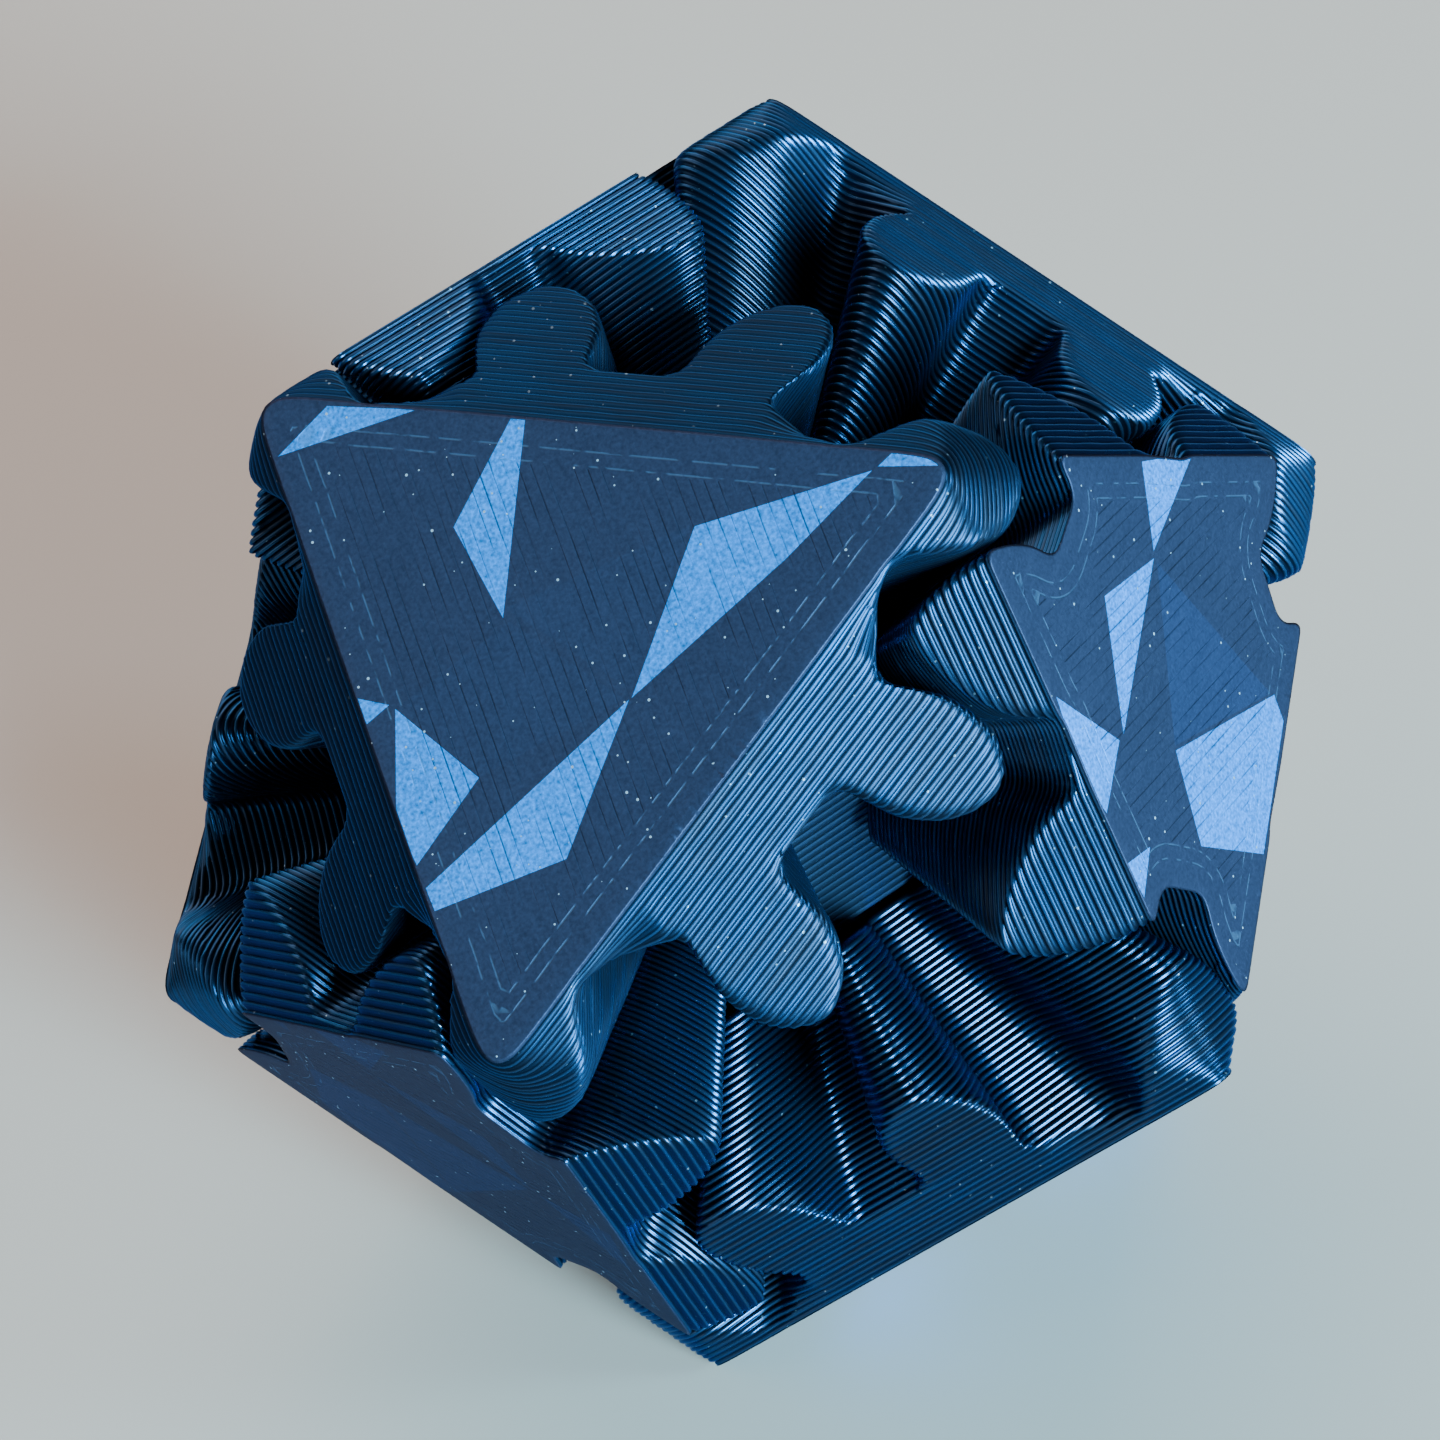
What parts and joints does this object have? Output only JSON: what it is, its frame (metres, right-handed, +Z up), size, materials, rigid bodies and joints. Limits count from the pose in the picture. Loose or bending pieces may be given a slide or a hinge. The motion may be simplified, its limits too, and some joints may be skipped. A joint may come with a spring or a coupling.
{
  "type": "geared twisty puzzle",
  "caption": "Handheld geared puzzle ball: an icosahedron cut into meshing bevel gears that all turn together on snap pins around a small core.",
  "frame": {"origin": "centre of the ball, where all gear axes meet", "axes": "+Z up, square to the side face that the ball rests on; -Y towards the front, the cube axis between two nine-tooth and two six-tooth gears; X along the ball's longest extent in this pose"},
  "size_m": [0.039, 0.0338, 0.032],
  "materials": {
    "gear_plastic": "dark navy pearl plastic, printed in fine layers",
    "core_plastic": "dark grey-blue printed plastic",
    "pin_plastic": "dark grey-blue printed plastic"
  },
  "bodies": {
    "core": {"core_block": "core_plastic", "snap_pin_1": "pin_plastic", "snap_pin_2": "pin_plastic", "snap_pin_3": "pin_plastic", "snap_pin_4": "pin_plastic", "snap_pin_5": "pin_plastic", "snap_pin_6": "pin_plastic", "snap_pin_7": "pin_plastic", "snap_pin_8": "pin_plastic"},
    "nine_tooth_1": {"nine_tooth_gear_1": "gear_plastic"},
    "nine_tooth_2": {"nine_tooth_gear_2": "gear_plastic"},
    "nine_tooth_3": {"nine_tooth_gear_3": "gear_plastic"},
    "nine_tooth_4": {"nine_tooth_gear_4": "gear_plastic"},
    "six_tooth_1": {"six_tooth_gear_1": "gear_plastic"},
    "six_tooth_2": {"six_tooth_gear_2": "gear_plastic"},
    "six_tooth_3": {"six_tooth_gear_3": "gear_plastic"},
    "six_tooth_4": {"six_tooth_gear_4": "gear_plastic"}
  },
  "joints": [
    {"name": "nine_tooth_1_spin", "type": "hinge", "parent": "core", "child": "nine_tooth_1", "pos_m": [0, 0, 0], "axis": [-0.3596, -0.5774, 0.733], "continuous": true},
    {"name": "nine_tooth_2_spin", "type": "hinge", "parent": "core", "child": "nine_tooth_2", "pos_m": [0, 0, 0], "axis": [0.3596, -0.5774, -0.733], "continuous": true},
    {"name": "nine_tooth_3_spin", "type": "hinge", "parent": "core", "child": "nine_tooth_3", "pos_m": [0, 0, 0], "axis": [0.733, 0.5774, 0.3596], "continuous": true},
    {"name": "nine_tooth_4_spin", "type": "hinge", "parent": "core", "child": "nine_tooth_4", "pos_m": [0, 0, 0], "axis": [-0.733, 0.5774, -0.3596], "continuous": true},
    {"name": "six_tooth_1_spin", "type": "hinge", "parent": "core", "child": "six_tooth_1", "pos_m": [0, 0, 0], "axis": [0.733, -0.5774, 0.3596], "continuous": true},
    {"name": "six_tooth_2_spin", "type": "hinge", "parent": "core", "child": "six_tooth_2", "pos_m": [0, 0, 0], "axis": [-0.733, -0.5774, -0.3596], "continuous": true},
    {"name": "six_tooth_3_spin", "type": "hinge", "parent": "core", "child": "six_tooth_3", "pos_m": [0, 0, 0], "axis": [-0.3596, 0.5774, 0.733], "continuous": true},
    {"name": "six_tooth_4_spin", "type": "hinge", "parent": "core", "child": "six_tooth_4", "pos_m": [0, 0, 0], "axis": [0.3596, 0.5774, -0.733], "continuous": true}
  ],
  "couplings": [
    {"joint": "nine_tooth_2_spin", "follows": "nine_tooth_1_spin", "ratio": 1},
    {"joint": "nine_tooth_3_spin", "follows": "nine_tooth_1_spin", "ratio": 1},
    {"joint": "nine_tooth_4_spin", "follows": "nine_tooth_1_spin", "ratio": 1},
    {"joint": "six_tooth_1_spin", "follows": "nine_tooth_1_spin", "ratio": -1.5},
    {"joint": "six_tooth_2_spin", "follows": "nine_tooth_1_spin", "ratio": -1.5},
    {"joint": "six_tooth_3_spin", "follows": "nine_tooth_1_spin", "ratio": -1.5},
    {"joint": "six_tooth_4_spin", "follows": "nine_tooth_1_spin", "ratio": -1.5}
  ]
}
